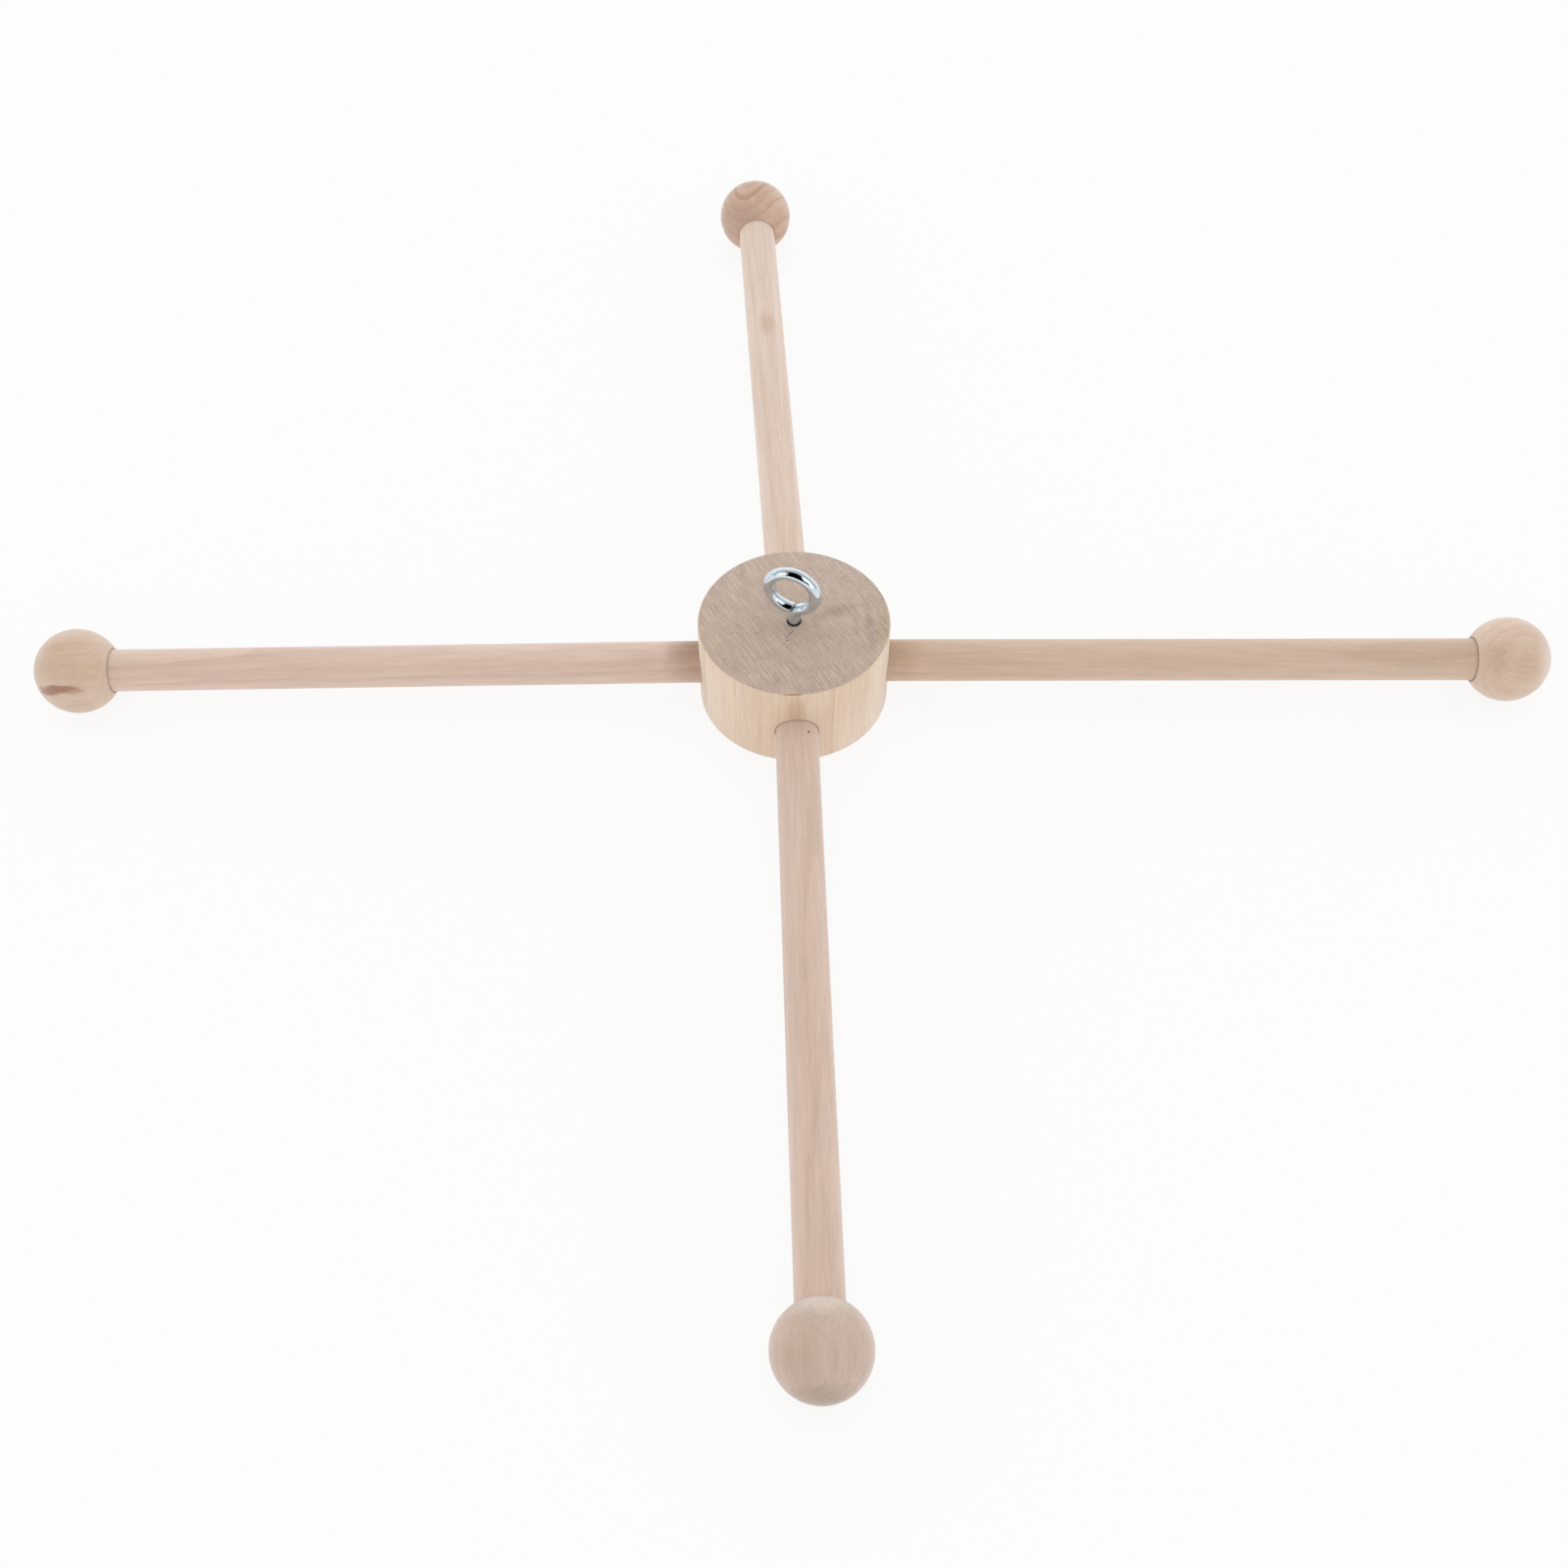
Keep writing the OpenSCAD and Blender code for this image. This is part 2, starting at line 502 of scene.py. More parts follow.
@dataclass(frozen=True)
class PlatedSteel:
    """Bright zinc on steel wire: a mirror with fine draw marks and a slightly clouded gleam."""

    name: str = "bright_zinc"
    colour: Triple = (0.71, 0.79, 0.85)
    cloud: Triple = (0.62, 0.71, 0.78)
    roughness: float = 0.055
    cloud_roughness: float = 0.06
    grit_roughness: float = 0.03
    relief: float = 0.08
    relief_depth: float = 0.05 * MM

    def material(self, turn: float = 0.0) -> bpy.types.Material:
        """Makes the finish.

        Args:
            turn: Direction of the piece's own X axis about the hub's axis, in degrees.

        Returns:
            The material, ready to be given to a piece.
        """
        made = bpy.data.materials.new(self.name)
        made.use_nodes = True
        graph = Graph(made.node_tree)
        coordinates = graph.node("ShaderNodeTexCoord", output="Object")
        place = graph.placed(coordinates, (0.0, 0.0, 0.0), (0.0, 0.0, turn), (MM, MM, MM))
        cloud = graph.wave(place, ZINC_CLOUD)
        grit = graph.wave(place, ZINC_GRIT)
        surface = graph.node(
            "ShaderNodeBsdfPrincipled",
            inputs={
                "Base Color": graph.blend(graph.patches(place, ZINC_CLOUD), self.colour, self.cloud),
                "Roughness": self.roughness + cloud * self.cloud_roughness + grit * self.grit_roughness,
                "Metallic": 1.0,
                "Normal": graph.bump(grit, self.relief, self.relief_depth),
            },
        )
        graph.node("ShaderNodeOutputMaterial", inputs={"Surface": surface})
        return made


# ----------------------------------------------------------------------------------------------------------
# Modelling helpers
# ----------------------------------------------------------------------------------------------------------


class Slot(Enum):
    """The record's material slots."""

    HUB = "hub_wood"
    DOWEL = "dowel_wood"
    BALL = "ball_wood"
    STEEL = "plated_steel"


def lathe(outline: Sequence[tuple[float, float]], steps: int) -> bmesh.types.BMesh:
    """Turns an outline about the X axis.

    Args:
        outline: Points as distance along X and radius, from axis to axis.
        steps: Number of sides of the turned shape.

    Returns:
        A mesh of the closed turned shape.
    """
    bm = bmesh.new()
    corners = [bm.verts.new((along, 0.0, radius)) for along, radius in outline]
    edges = [bm.edges.new(pair) for pair in zip(corners, corners[1:])]
    spin_closed(bm, corners + edges, steps)
    return bm


def spin_closed(bm: bmesh.types.BMesh, geom: list, steps: int) -> None:
    """Spins geometry a full turn about the X axis and closes it."""
    axis = (1.0, 0.0, 0.0)
    bmesh.ops.spin(
        bm, geom=geom, cent=(0, 0, 0), axis=axis, dvec=(0, 0, 0), angle=FULL_TURN, steps=steps, use_merge=True
    )
    close(bm)


def close(bm: bmesh.types.BMesh) -> None:
    """Merges doubled vertices and turns every face outwards."""
    bmesh.ops.remove_doubles(bm, verts=bm.verts[:], dist=WELD)
    bmesh.ops.dissolve_degenerate(bm, dist=WELD, edges=bm.edges[:])
    bmesh.ops.recalc_face_normals(bm, faces=bm.faces[:])


def bevel(bm: bmesh.types.BMesh, edges: list[bmesh.types.BMEdge], width: float) -> None:
    """Rounds edges off."""
    bmesh.ops.bevel(
        bm, geom=edges, offset=width, affect="EDGES", segments=BEVEL_STEPS, profile=0.5, material=-1
    )


def bare_object(name: str, bm: bmesh.types.BMesh) -> bpy.types.Object:
    """Makes an object at the origin from a mesh under construction.

    Args:
        name: Name of the object.
        bm: The mesh, which is freed.

    Returns:
        The object, linked to the scene.
    """
    mesh = bpy.data.meshes.new(name)
    bm.to_mesh(mesh)
    bm.free()
    made = bpy.data.objects.new(name, mesh)
    bpy.context.scene.collection.objects.link(made)
    return made


def carve(block: bpy.types.Object, cutters: Sequence[bmesh.types.BMesh]) -> None:
    """Cuts closed shapes out of a block, for good.

    Args:
        block: The block, whose mesh is changed.
        cutters: The closed shapes, which are freed.
    """
    tools = [bare_object(f"cutter_{number}", shape) for number, shape in enumerate(cutters)]
    for tool in tools:
        cut = block.modifiers.new(tool.name, "BOOLEAN")
        cut.operation = "DIFFERENCE"
        cut.solver = "EXACT"
        cut.object = tool
    graph = bpy.context.evaluated_depsgraph_get()
    carved = bpy.data.meshes.new_from_object(block.evaluated_get(graph))
    block.modifiers.clear()
    old, block.data = block.data, carved
    bpy.data.meshes.remove(old)
    for tool in tools:
        shape = tool.data
        bpy.data.objects.remove(tool)
        bpy.data.meshes.remove(shape)


def dress(
    piece: bpy.types.Object,
    finish: Wood | PlatedSteel,
    body: str,
    node: str,
    turn: float = 0.0,
    sharp: float = 40.0,
) -> None:
    """Gives a finished piece its material and its place in the model.

    Args:
        piece: The piece.
        finish: Its finish.
        body: The body that it moves with.
        node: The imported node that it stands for.
        turn: Direction of the piece's own X axis about the hub's axis, in radians.
        sharp: Angle in degrees past which an edge is left sharp.
    """
    piece.data.materials.clear()
    piece.data.materials.append(finish.material(math.degrees(turn)))
    piece.data.shade_smooth()
    piece.data.set_sharp_from_angle(angle=math.radians(sharp))
    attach(piece, body)
    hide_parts(node)
    log.info("%s: %d faces, on body %s", piece.name, len(piece.data.polygons), body)


# ----------------------------------------------------------------------------------------------------------
# The frame's pieces
# ----------------------------------------------------------------------------------------------------------


@dataclass
class HubBlock:
    """The turned disc that holds the arms and the screw eye."""

    finish: Wood
    radius: float
    height: float
    arm_height: float
    arm_radius: float
    shank_radius: float
    shank_depth: float
    socket_depth: float = 13.0 * MM
    end_gap: float = 0.3 * MM
    rim: float = 0.4 * MM
    fit: float = 0.05 * MM
    mouth_flare: float = 0.15 * MM
    mouth_depth: float = 1.6 * MM
    drill_point: float = 1.0 * MM
    pilot_fit: float = 0.05 * MM
    pilot_extra: float = 2.0 * MM
    pilot_flare: float = 0.25 * MM
    over: float = 1.6 * MM
    sides: int = 256
    bore_sides: int = 96
    pilot_sides: int = 64

    @property
    def socket_floor(self) -> float:
        """Distance of the sockets' floors from the hub's axis."""
        return self.radius - self.socket_depth

    def socket(self, turn: float) -> bmesh.types.BMesh:
        """Makes the cutter of one arm's socket.

        Args:
            turn: Direction of the arm, in radians.

        Returns:
            A closed shape that runs past the hub's rim.
        """
        bore = self.arm_radius + self.fit
        slope = self.mouth_flare / self.mouth_depth
        shape = lathe(
            [
                (self.socket_floor - self.drill_point, 0.0),
                (self.socket_floor, self.drill_point),
                (self.socket_floor, bore),
                (self.radius - self.mouth_depth, bore),
                (self.radius + self.over, bore + slope * (self.mouth_depth + self.over)),
                (self.radius + self.over, 0.0),
            ],
            self.bore_sides,
        )
        place = Matrix.Rotation(turn, 4, "Z") @ Matrix.Translation((0, 0, self.arm_height))
        bmesh.ops.transform(shape, matrix=place, verts=shape.verts[:])
        return shape

    def pilot(self) -> bmesh.types.BMesh:
        """Makes the cutter of the screw eye's hole.

        Returns:
            A closed shape that runs past the hub's top face.
        """
        depth = self.shank_depth + self.pilot_extra
        radius = self.shank_radius + self.pilot_fit
        shape = lathe(
            [
                (-depth, 0.0),
                (-depth + radius, radius),
                (-self.pilot_flare, radius),
                (self.over, radius + self.pilot_flare + self.over),
                (self.over, 0.0),
            ],
            self.pilot_sides,
        )
        place = Matrix.Translation((0, 0, self.height)) @ Matrix.Rotation(-math.pi / 2, 4, "Y")
        bmesh.ops.transform(shape, matrix=place, verts=shape.verts[:])
        return shape

    def build(self) -> bpy.types.Object:
        """Turns the disc, rounds its rims and bores its holes.

        Returns:
            The dressed hub.
        """
        bm = bmesh.new()
        bmesh.ops.create_cone(
            bm,
            cap_ends=True,
            segments=self.sides,
            radius1=self.radius,
            radius2=self.radius,
            depth=self.height,
            matrix=Matrix.Translation((0, 0, self.height / 2)),
        )
        rims = [edge for edge in bm.edges if abs(edge.verts[0].co.z - edge.verts[1].co.z) < WELD]
        bevel(bm, rims, self.rim)
        hub = bare_object("turned_hub", bm)
        turns = [arm.turn for arm in ArmSide]
        carve(hub, [*(self.socket(turn) for turn in turns), self.pilot()])
        dress(hub, self.finish, "hub", "hub", sharp=30.0)
        return hub


class ArmSide(Enum):
    """The four arms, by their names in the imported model."""

    RIGHT = "right"
    BACK = "back"
    LEFT = "left"
    FRONT = "front"

    @property
    def turn(self) -> float:
        """Direction of the arm about the hub's axis, in radians: the way that its joint pulls it out."""
        joints = {joint["name"]: joint for joint in frame["record"]["behaviour"]["joints"]}
        across, back, _ = joints[f"{self.value}_arm_pull"]["axis"]
        return math.atan2(back, across)


@dataclass
class Arm:
    """A dowel with a ball glued on its end."""

    side: ArmSide
    dowel_finish: Wood
    ball_finish: Wood
    start: float
    radius: float
    height: float
    reach: float
    ball_radius: float
    bore_depth: float = 11.0 * MM
    chamfer: float = 0.8 * MM
    glue: float = 0.05 * MM
    lip: float = 0.25 * MM
    sanding: float = 0.03 * MM
    sanding_wave: float = 9.0 * MM
    sides: int = 96
    dowel_cuts: int = 60
    ball_steps: int = 72

    @property
    def end(self) -> float:
        """Distance of the dowel's outer end from the hub's axis."""
        return self.reach - self.ball_radius + self.bore_depth - self.glue

    def place(self, bm: bmesh.types.BMesh) -> None:
        """Moves a mesh made along X to its arm."""
        matrix = Matrix.Rotation(self.side.turn, 4, "Z") @ Matrix.Translation((0, 0, self.height))
        bmesh.ops.transform(bm, matrix=matrix, verts=bm.verts[:])

    def dowel(self) -> bpy.types.Object:
        """Turns the dowel, with bevelled ends and the slight waves that sanding leaves.

        Returns:
            The dressed dowel.
        """
        bm = lathe(
            [
                (self.start, 0.0),
                (self.start, self.radius - self.chamfer),
                (self.start + self.chamfer, self.radius),
                (self.end - self.chamfer, self.radius),
                (self.end, self.radius - self.chamfer),
                (self.end, 0.0),
            ],
            self.sides,
        )
        long_edges = [edge for edge in bm.edges if edge.calc_length() > self.end / 2]
        bmesh.ops.subdivide_edges(bm, edges=long_edges, cuts=self.dowel_cuts, use_grid_fill=True)
        seed = Vector((0.0, 0.0, math.degrees(self.side.turn)))
        for vert in bm.verts:
            inside = self.start + 2 * self.chamfer < vert.co.x < self.end - 2 * self.chamfer
            if inside:
                wave = noise.noise(vert.co / self.sanding_wave + seed) - 1.0
                out = Vector((0.0, vert.co.y, vert.co.z)).normalized()
                vert.co += out * (wave * self.sanding / 2)
        self.place(bm)
        name = self.side.value
        made = bare_object(f"{name}_arm_dowel", bm)
        dress(made, self.dowel_finish, f"{name}_arm", f"{name}_dowel", self.side.turn)
        return made

    def ball(self) -> bpy.types.Object:
        """Turns the ball, with its bore and the broken edge of the bore's mouth.

        Returns:
            The dressed ball.
        """
        bore = self.radius + self.glue
        mouth = math.pi - math.asin((bore + self.lip) / self.ball_radius)
        bm = bmesh.new()
        pole = bm.verts.new((self.reach + self.ball_radius, 0.0, 0.0))
        bmesh.ops.spin(
            bm,
            geom=[pole],
            cent=(self.reach, 0, 0),
            axis=(0, -1, 0),
            dvec=(0, 0, 0),
            angle=mouth,
            steps=self.ball_steps,
        )
        last = min(bm.verts, key=lambda vert: vert.co.x)
        lip_x = self.reach - math.sqrt(self.ball_radius**2 - bore**2) + self.lip
        for corner in ((lip_x, bore), (self.end + self.glue, bore), (self.end + self.glue, 0.0)):
            following = bm.verts.new((corner[0], 0.0, corner[1]))
            bm.edges.new((last, following))
            last = following
        spin_closed(bm, bm.verts[:] + bm.edges[:], self.sides)
        self.place(bm)
        name = self.side.value
        made = bare_object(f"{name}_end_ball", bm)
        dress(made, self.ball_finish, f"{name}_arm", f"{name}_ball", self.side.turn)
        return made


@dataclass
class ScrewEye:
    """A screw eye bent from plated wire: a threaded shank, a neck and a round eye."""

    finish: PlatedSteel
    face_height: float
    tip_height: float
    wire: float = 1.45 * MM
    eye_radius: float = 5.6 * MM
    eye_offset: float = 0.45 * MM
    eye_rise: float = 9.95 * MM
    neck_radius: float = 3.6 * MM
    cut_gap: float = 0.15 * MM
    cut_slant: float = 148.9
    cut_bevel: float = 0.15 * MM
    tail: float = 284.0
    turn: float = -21.0
    pitch: float = 1.25 * MM
    thread: float = 0.4 * MM
    plain: float = 2.0 * MM
    point: float = 3.0 * MM
    valley_end: float = 0.35
    crest_start: float = 0.55
    crest_end: float = 0.62
    tip_share: float = 0.12
    run_out: float = 0.3 * MM
    past_tail: float = 4.0
    before_tail: float = 60.0
    sides: int = 48
    thread_steps: int = 40
    neck_steps: int = 24
    eye_steps: int = 120

    @property
    def neck_rise(self) -> float:
        """Height of the neck's centre over the hub's face."""
        reach = self.neck_radius + self.eye_radius
        return self.eye_rise - math.sqrt(reach**2 - (self.neck_radius + self.eye_offset) ** 2)

    @property
    def neck_end(self) -> float:
        """Angle about the neck's centre at which the eye takes over, in radians."""
        return math.atan2(self.eye_rise - self.neck_rise, -(self.neck_radius + self.eye_offset))

    def threaded(self, bm: bmesh.types.BMesh) -> None:
        """Winds the thread up the shank and draws its end in to a point.

        Args:
            bm: The mesh to add the shank to.
        """
        core = self.wire - self.thread
        outline = (
            (0.0, core),
            (self.valley_end, core),
            (self.crest_start, self.wire),
            (self.crest_end, self.wire),
            (1.0, core),
        )
        start = self.tip_height - self.pitch
        top = self.face_height - self.plain
        turns = math.ceil((top - self.tip_height) / self.pitch) + 1
        corners = [bm.verts.new((radius, 0.0, start + share * self.pitch)) for share, radius in outline]
        edges = [bm.edges.new(pair) for pair in zip(corners, corners[1:])]
        bmesh.ops.spin(
            bm,
            geom=corners + edges,
            cent=(0, 0, 0),
            axis=(0, 0, 1),
            dvec=(0, 0, self.pitch / self.thread_steps),
            angle=FULL_TURN * turns,
            steps=self.thread_steps * turns,
        )
        bmesh.ops.remove_doubles(bm, verts=bm.verts[:], dist=WELD)
        for height, clear in ((self.tip_height, "clear_inner"), (top, "clear_outer")):
            bmesh.ops.bisect_plane(
                bm,
                geom=bm.verts[:] + bm.edges[:] + bm.faces[:],
                dist=WELD,
                plane_co=(0, 0, height),
                plane_no=(0, 0, 1),
                **{clear: True},
            )
        for vert in bm.verts:
            share = (vert.co.z - self.tip_height) / self.point
            if share < 1.0:
                vert.co.xy *= self.tip_share + (1.0 - self.tip_share) * share
        low = [edge for edge in bm.edges if edge.is_boundary and edge.verts[0].co.z < self.tip_height + WELD]
        bmesh.ops.edgeloop_fill(bm, edges=low)

    def bent(self, bm: bmesh.types.BMesh) -> list[bmesh.types.BMFace]:
        """Bends the wire from the top of the thread through the neck and round the eye.

        Args:
            bm: The mesh that holds the threaded shank.

        Returns:
            The faces of the eye.
        """
        start = self.face_height - self.plain + self.run_out
        open_top = [edge for edge in bm.edges if edge.is_boundary]
        place = Matrix.Translation((0, 0, start))
        ring = bmesh.ops.create_circle(
            bm, cap_ends=False, segments=self.sides, radius=self.wire, matrix=place
        )
        loop = list({edge for vert in ring["verts"] for edge in vert.link_edges})
        bmesh.ops.bridge_loops(bm, edges=open_top + loop)
        straight = bmesh.ops.extrude_edge_only(bm, edges=loop)["geom"]
        neck_height = self.face_height + self.neck_rise
        moved = [item for item in straight if isinstance(item, bmesh.types.BMVert)]
        bmesh.ops.translate(bm, verts=moved, vec=(0, 0, neck_height - start))
        front = [item for item in straight if not isinstance(item, bmesh.types.BMFace)]
        eye_height = self.face_height + self.eye_rise
        eye_start = self.neck_end - math.pi
        tail = math.radians(self.tail)
        for centre, angle, steps in (
            ((self.neck_radius, 0, neck_height), eye_start, self.neck_steps),
            ((-self.eye_offset, 0, eye_height), tail - eye_start, self.eye_steps),
        ):
            known = set(bm.faces)
            front = bmesh.ops.spin(
                bm, geom=front, cent=centre, axis=(0, -1, 0), dvec=(0, 0, 0), angle=angle, steps=steps
            )["geom_last"]
        return [face for face in bm.faces if face not in known]

    def cut_end(self, bm: bmesh.types.BMesh, eye_faces: Sequence[bmesh.types.BMFace]) -> None:
        """Cuts the wire's end along the neck's flank, and breaks the cut's edge.

        Args:
            bm: The mesh with the wire bent past its end.
            eye_faces: The faces of the eye.
        """
        slant = math.radians(self.cut_slant)
        normal = Vector((math.cos(slant), 0.0, math.sin(slant)))
        centre = Vector((self.neck_radius, 0.0, self.face_height + self.neck_rise))
        plane = centre + normal * (self.neck_radius + self.wire + self.cut_gap)
        eye = Vector((-self.eye_offset, 0.0, self.face_height + self.eye_rise))

        def in_tail(point: Vector) -> bool:
            """Tells whether a point lies in the last part of the eye."""
            away = point - eye
            angle = math.degrees(math.atan2(away.z, away.x) % FULL_TURN)
            return self.tail - self.before_tail < angle < self.tail + self.past_tail

        faces = [face for face in eye_faces if in_tail(face.calc_center_median())]
        edges = list({edge for face in faces for edge in face.edges})
        verts = list({vert for face in faces for vert in face.verts})
        bmesh.ops.bisect_plane(
            bm, geom=verts + edges + faces, dist=WELD, plane_co=plane, plane_no=-normal, clear_outer=True
        )
        stray = [vert for vert in bm.verts if not vert.link_faces]
        bmesh.ops.delete(bm, geom=stray, context="VERTS")
        rim = [edge for edge in bm.edges if edge.is_boundary]
        bmesh.ops.edgeloop_fill(bm, edges=rim)
        bevel(bm, rim, self.cut_bevel)

    def build(self) -> bpy.types.Object:
        """Threads, bends and cuts the wire, and turns the eye to its direction.

        Returns:
            The dressed screw eye.
        """
        bm = bmesh.new()
        self.threaded(bm)
        self.cut_end(bm, self.bent(bm))
        close(bm)
        turn = Matrix.Rotation(math.radians(self.turn), 4, "Z")
        bmesh.ops.transform(bm, matrix=turn, verts=bm.verts[:])
        made = bare_object("bent_screw_eye", bm)
        dress(made, self.finish, "eye", "screw_eye", sharp=50.0)
        return made


# ----------------------------------------------------------------------------------------------------------
# Studio
# ----------------------------------------------------------------------------------------------------------


@dataclass(frozen=True)
class Card:
    """A soft box or a dark card over the table, which shows only in bright metal: an ellipse of the sky."""

    tilt: float
    heading: float
    along: float
    across: float
    roll: float = 0.0
    soft: float = 0.15
    strength: float = 0.0
    rear_fade: float = 0.05

    def mask(self, graph: Graph, heading: Value) -> Value:
        """Works out which part of the sky the card covers.

        Args:
            graph: The world's node tree.
            heading: The direction that is looked in.

        Returns:
            1 on the card and 0 off it.
        """
        turn = (
            Matrix.Rotation(math.radians(self.heading), 3, "Z")
            @ Matrix.Rotation(math.radians(self.tilt), 3, "Y")
            @ Matrix.Rotation(math.radians(self.roll), 3, "Z")
        ).to_euler()
        half = (math.sin(math.radians(self.along)), math.sin(math.radians(self.across)), 1.0)
        local = graph.placed(heading, (0.0, 0.0, 0.0), tuple(math.degrees(angle) for angle in turn), half)
        reach = graph.length(graph.stretch(local, (1.0, 1.0, 0.0)))
        front = graph.vector("DOT_PRODUCT", local, (0.0, 0.0, 1.0), output="Value").rise(0.0, self.rear_fade)
        return reach.rise(1.0 + self.soft, 1.0 - self.soft) * front


@dataclass
class Studio:
    """A pale floor in soft light from all round, and the camera."""

    target: Triple = (-0.003377, -0.036963, 0.010)
    distance: float = 0.45203
    elevation: float = 52.778
    azimuth: float = 1.549
    roll: float = -0.061
    lens: float = 45.665
    sensor: float = 36.0
    nearest: float = 0.01
    farthest: float = 50.0
    floor_size: float = 6.0
    floor_colour: Triple = (0.9, 0.9, 0.9)
    floor_glow: float = 0.85
    table_glow: float = 0.5
    level: float = 1.1
    dim_axis: Triple = (-0.05, -0.66, 0.75)
    dimming: float = 0.25
    dim_edge: float = 75.0
    dim_core: float = 25.0
    gleam: float = 0.55
    cards: tuple[Card, ...] = (
        Card(tilt=95.0, heading=90.0, along=50.0, across=80.0, soft=0.3, strength=1.2),
        Card(tilt=62.0, heading=-60.0, along=38.0, across=24.0, strength=1.4),
        Card(tilt=68.0, heading=-150.0, along=22.0, across=15.0, strength=1.4),
        Card(tilt=56.0, heading=-111.0, along=47.0, across=24.0, roll=-8.5),
        Card(tilt=22.0, heading=-112.0, along=18.0, across=26.0),
        Card(tilt=76.0, heading=-90.0, along=9.0, across=22.0),
        Card(tilt=36.0, heading=-156.0, along=6.0, across=12.0),
    )

    def floor(self) -> bpy.types.Object:
        """Lays the floor, which shows nearly white and keeps a soft shadow.

        Returns:
            The floor.
        """
        bm = bmesh.new()
        bmesh.ops.create_grid(bm, x_segments=1, y_segments=1, size=self.floor_size / 2)
        made = bare_object("studio_floor", bm)
        material = bpy.data.materials.new("floor_paper")
        material.use_nodes = True
        graph = Graph(material.node_tree)
        paper = graph.node("ShaderNodeBsdfDiffuse", inputs={"Color": self.floor_colour})
        seen = graph.node("ShaderNodeLightPath", output="Is Camera Ray")
        strength = seen + (1.0 - seen) * self.level
        glow = graph.node("ShaderNodeEmission", inputs={"Color": (1.0, 1.0, 1.0), "Strength": strength})
        share = seen * self.floor_glow + (1.0 - seen) * self.table_glow
        surface = graph.node("ShaderNodeMixShader", inputs={0: share, 1: paper, 2: glow})
        graph.node("ShaderNodeOutputMaterial", inputs={"Surface": surface})
        made.data.materials.append(material)
        return made

    def light(self) -> None:
        """Lights the scene from all round, a little less from the side that the camera looks from."""
        world = bpy.data.worlds.new("soft_box")
        world.use_nodes = True
        bpy.context.scene.world = world
        graph = Graph(world.node_tree)
        heading = graph.node("ShaderNodeTexCoord", output="Generated")
        axis = Vector(self.dim_axis).normalized()
        facing = graph.vector("DOT_PRODUCT", heading, tuple(axis), output="Value")
        dim = facing.rise(math.cos(math.radians(self.dim_edge)), math.cos(math.radians(self.dim_core)))
        light = (1.0 - dim * self.dimming) * self.level
        mirrored = self.gleam
        for card in self.cards:
            share = card.mask(graph, heading)
            mirrored = (1.0 - share) * mirrored + share * card.strength
        seen = graph.node("ShaderNodeLightPath", output="Is Camera Ray")
        glossy = graph.node("ShaderNodeLightPath", output="Is Glossy Ray")
        strength = light * (1.0 - glossy) + mirrored * glossy
        strength = strength * (1.0 - seen) + seen
        back = graph.node("ShaderNodeBackground", inputs={"Color": (1.0, 1.0, 1.0), "Strength": strength})
        graph.node("ShaderNodeOutputWorld", inputs={"Surface": back})

    def camera(self) -> bpy.types.Object:
        """Sets the camera up.

        Returns:
            The camera.
        """
        lift = math.radians(self.elevation)
        heading = math.radians(self.azimuth)
        tilt = math.radians(self.roll)
        level = math.cos(lift)
        ahead = Vector((math.sin(heading) * level, math.cos(heading) * level, -math.sin(lift)))
        right = ahead.cross(Vector((0, 0, 1))).normalized()
        above = right.cross(ahead)
        across = right * math.cos(tilt) + above * math.sin(tilt)
        upright = above * math.cos(tilt) - right * math.sin(tilt)
        data = bpy.data.cameras.new("view")
        data.lens = self.lens
        data.sensor_width = self.sensor
        data.clip_start = self.nearest
        data.clip_end = self.farthest
        made = bpy.data.objects.new("view", data)
        bpy.context.scene.collection.objects.link(made)
        turn = Matrix((across, upright, -ahead)).transposed().to_4x4()
        made.matrix_world = Matrix.Translation(Vector(self.target) - ahead * self.distance) @ turn
        bpy.context.scene.camera = made
        return made


# ----------------------------------------------------------------------------------------------------------
# This frame's woods
# ----------------------------------------------------------------------------------------------------------


HUB_WOOD = Wood(
    name="hub_block_wood",
    pale=srgb(233, 209, 186),
    warm=srgb(224, 197, 169),
    late=srgb(205, 170, 135),
    end=srgb(190, 168, 152),
    pith_mm=(-60.0, 5.0, 0.0),
    fibre=(0.0, -90.0, 0.0),
    ring_mm=3.2,
    end_share=0.95,
    saw=Streaks(heading=-61.0, spacing_mm=0.45, strength=0.30, flecks=0.16, mottle=0.32),
    marks=(
        Mark((-0.2, -22.5, 17.5), (3.4, 2.0, 8.0), srgb(206, 176, 144), 0.85, soft=0.7),
        Mark((0.0, -0.1, 24.0), (1.9, 1.85, 0.6), srgb(40, 30, 25), 0.97, soft=0.15, ragged=0.08),
        # Painted shadow: the screw eye's soft shadow, a darker diagonal smudge on the top face to the right
        # of the shank.
        Mark((10.4, 2.9, 24.0), (8.5, 2.6, 2.0), srgb(160, 138, 122), 0.5, (0.0, 0.0, 20.0), soft=0.9),
        Mark((17.6, -3.0, 24.0), (1.6, 11.0, 2.0), srgb(158, 134, 124), 0.45, (0.0, 0.0, 4.0), soft=0.8),
        Mark((20.4, -2.4, 24.0), (2.2, 7.0, 2.0), srgb(176, 160, 122), 0.5, soft=0.7, ragged=0.8),
        Mark((-1.2, -4.1, 24.0), (2.4, 0.17, 1.0), srgb(112, 84, 70), 0.85, (0.0, 0.0, 48.0), soft=0.6),
        Mark((-1.8, -6.0, 24.0), (0.35, 0.3, 1.0), srgb(110, 84, 70), 0.8, soft=0.6),
        Mark((-1.9, -22.5, 24.0), (4.6, 0.5, 0.35), srgb(168, 122, 84), 0.8, soft=0.5),
    ),
)

